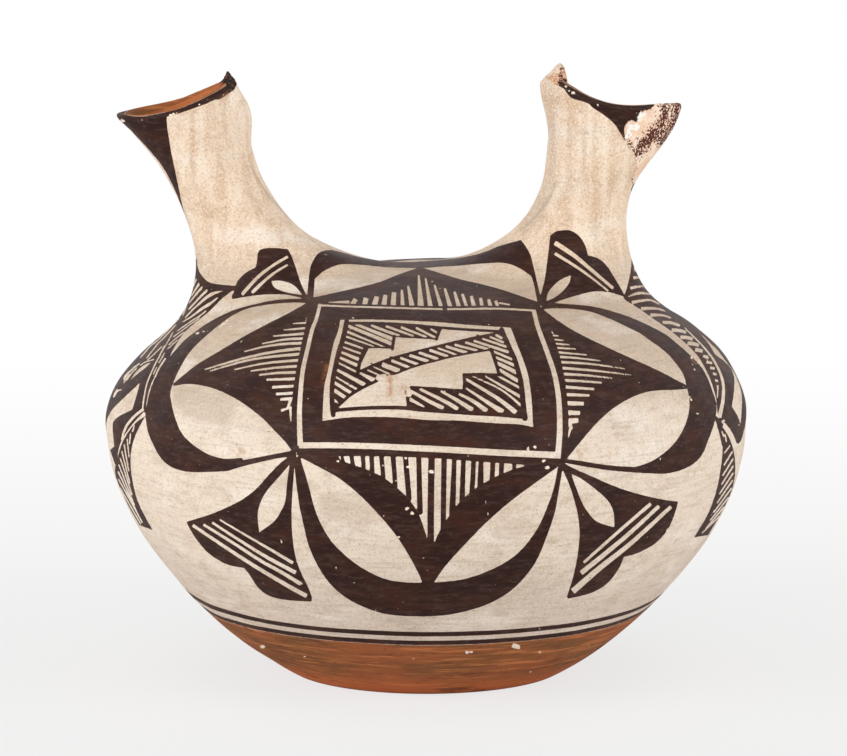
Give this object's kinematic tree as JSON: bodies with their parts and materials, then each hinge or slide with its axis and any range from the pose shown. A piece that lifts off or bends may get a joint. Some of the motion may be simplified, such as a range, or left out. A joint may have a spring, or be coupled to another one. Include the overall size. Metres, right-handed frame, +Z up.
{
  "type": "pottery wedding jar",
  "caption": "Hand-built double-spouted clay jar with a round painted body, flared pour lips and torn stubs of its arched handle.",
  "frame": {"origin": "middle of the flat base, on the surface the jar stands on", "axes": "+Z up, +X towards the spout on the right of the painted front, -Y out of the painted front"},
  "size_m": [0.24, 0.24, 0.2288],
  "materials": {
    "orange_clay": "bare fired clay, burnished",
    "cream_slip": "polished slip with black mineral paint",
    "rim_paint": "black mineral paint, worn",
    "broken_clay": "rough broken clay"
  },
  "bodies": {
    "root": {"base_bowl": "orange_clay", "belly_course_1": "cream_slip", "belly_course_2": "cream_slip", "belly_course_3": "cream_slip", "shoulder_course": "cream_slip", "crown": "cream_slip", "left_neck": "cream_slip", "right_neck": "cream_slip", "left_rim": "rim_paint", "right_rim": "rim_paint", "left_handle_root": "broken_clay", "right_handle_root": "broken_clay"}
  },
  "joints": []
}
